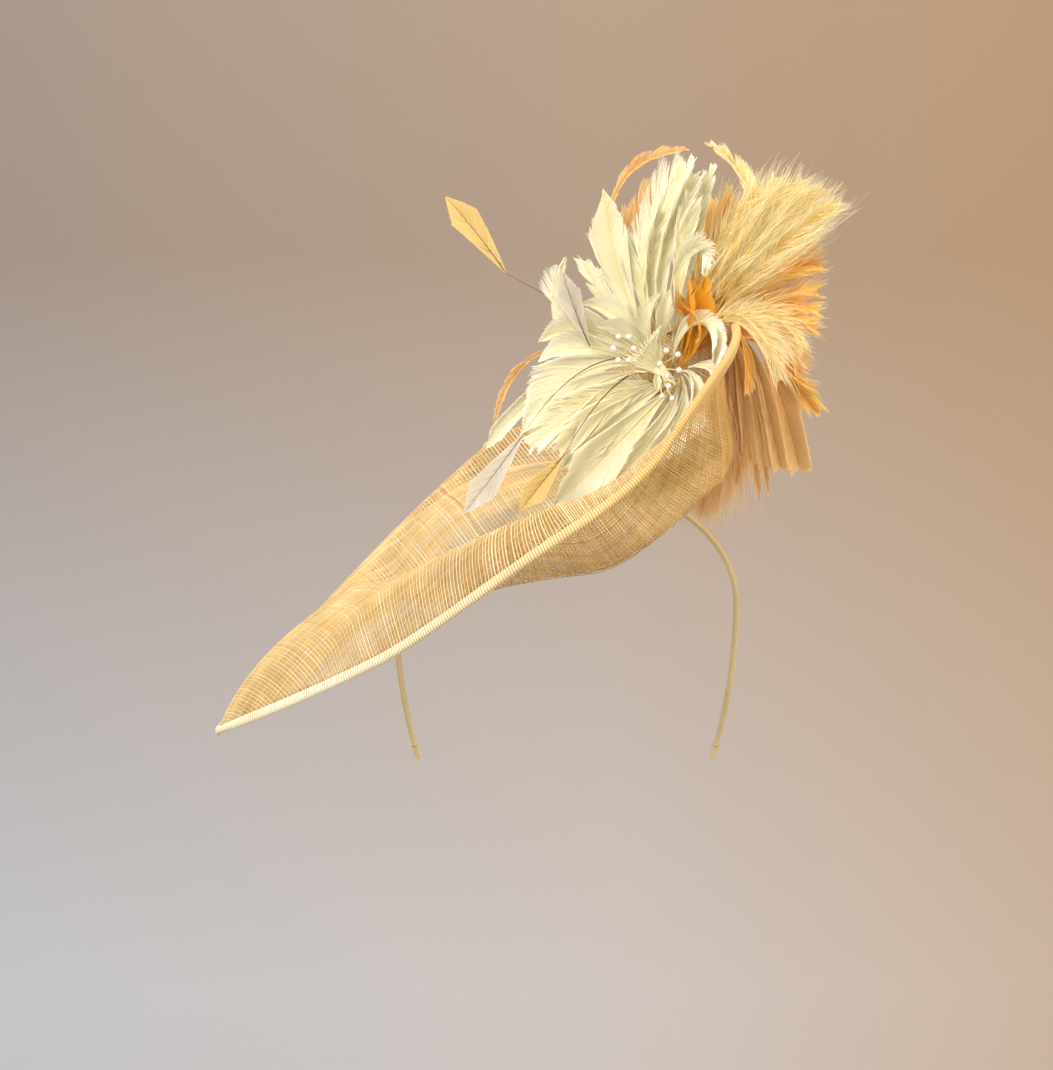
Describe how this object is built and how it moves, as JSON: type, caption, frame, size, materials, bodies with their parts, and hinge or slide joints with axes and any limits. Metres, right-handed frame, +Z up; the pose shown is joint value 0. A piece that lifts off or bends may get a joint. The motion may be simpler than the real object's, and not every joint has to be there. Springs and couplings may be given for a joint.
{
  "type": "fascinator headpiece",
  "caption": "Teardrop sinamay fascinator with a bound wire edge, feather spray and pearl stamens on a sprung satin headband.",
  "frame": {"origin": "inside face of the headband at its highest point, where it rests on the head", "axes": "+Z up, -Y the way the wearer looks, +X to the wearer's left"},
  "size_m": [0.2799, 0.162, 0.2768],
  "materials": {
    "sinamay": "open woven straw, glossy threads",
    "binding": "ribbed bias binding",
    "steel": "satin",
    "satin": "satin",
    "felt": "matte felt",
    "thread": "fine thread",
    "stems": "quills bound together",
    "pearl": "pearl lustre",
    "cream_feather": "soft feather",
    "gold_feather": "soft feather",
    "amber_feather": "soft feather",
    "grey_feather": "soft feather"
  },
  "bodies": {
    "base": {"sinamay_top_layer": "sinamay", "sinamay_under_layer": "sinamay", "rim_binding": "binding", "rim_wire": "steel", "band_core_crown": "steel", "band_cover_crown": "satin", "felt_strip": "felt", "feather_mount_disc": "felt", "tie_stitches": "thread", "stem_tape": "thread", "stamen_wires": "thread", "stem_bundle": "stems", "stem_knot": "stems", "pearls": "pearl", "biot_tuft": "cream_feather", "front_petals": "cream_feather", "lower_petals": "cream_feather", "left_petals": "cream_feather", "upright_petals": "cream_feather", "looped_feathers": "cream_feather", "ribbon_curl": "cream_feather", "hackle_spray": "cream_feather", "arched_feathers": "gold_feather", "side_arch_feathers": "gold_feather", "curled_wisps": "gold_feather", "hanging_strips": "gold_feather", "marabou_fluff": "gold_feather", "trumpet_feather": "amber_feather", "amber_curls": "amber_feather"},
    "left_arm": {"band_core_left": "steel", "band_cover_left": "satin", "band_end_tab_left": "satin"},
    "right_arm": {"band_core_right": "steel", "band_cover_right": "satin", "band_end_tab_right": "satin"},
    "upper_feather": {"long_feather_upper": "gold_feather"},
    "grey_feather": {"long_feather_grey": "grey_feather"},
    "gold_feather": {"long_feather_gold": "gold_feather"}
  },
  "joints": [
    {"name": "left_arm_flex", "type": "hinge", "parent": "base", "child": "left_arm", "pos_m": [0.05084, 0.00312, -0.01252], "axis": [0, -0.9703, -0.2419], "range_deg": [-2, 7], "stiffness_Nm_per_rad": 1.2},
    {"name": "right_arm_flex", "type": "hinge", "parent": "base", "child": "right_arm", "pos_m": [-0.05084, 0.00312, -0.01252], "axis": [0, 0.9703, 0.2419], "range_deg": [-2, 7], "stiffness_Nm_per_rad": 1.2},
    {"name": "upper_feather_sway", "type": "hinge", "parent": "base", "child": "upper_feather", "pos_m": [0.0275, -0.02927, 0.059], "axis": [0, 1, 0], "range_deg": [-5, 5], "stiffness_Nm_per_rad": 0.004},
    {"name": "grey_feather_sway", "type": "hinge", "parent": "base", "child": "grey_feather", "pos_m": [0.03, -0.03669, 0.054], "axis": [-0.4307, 0.9005, 0.0604], "range_deg": [-2, 8], "stiffness_Nm_per_rad": 0.004},
    {"name": "gold_feather_sway", "type": "hinge", "parent": "base", "child": "gold_feather", "pos_m": [0.027, -0.03995, 0.046], "axis": [-0.5209, 0.8534, -0.0196], "range_deg": [-2, 8], "stiffness_Nm_per_rad": 0.004}
  ]
}
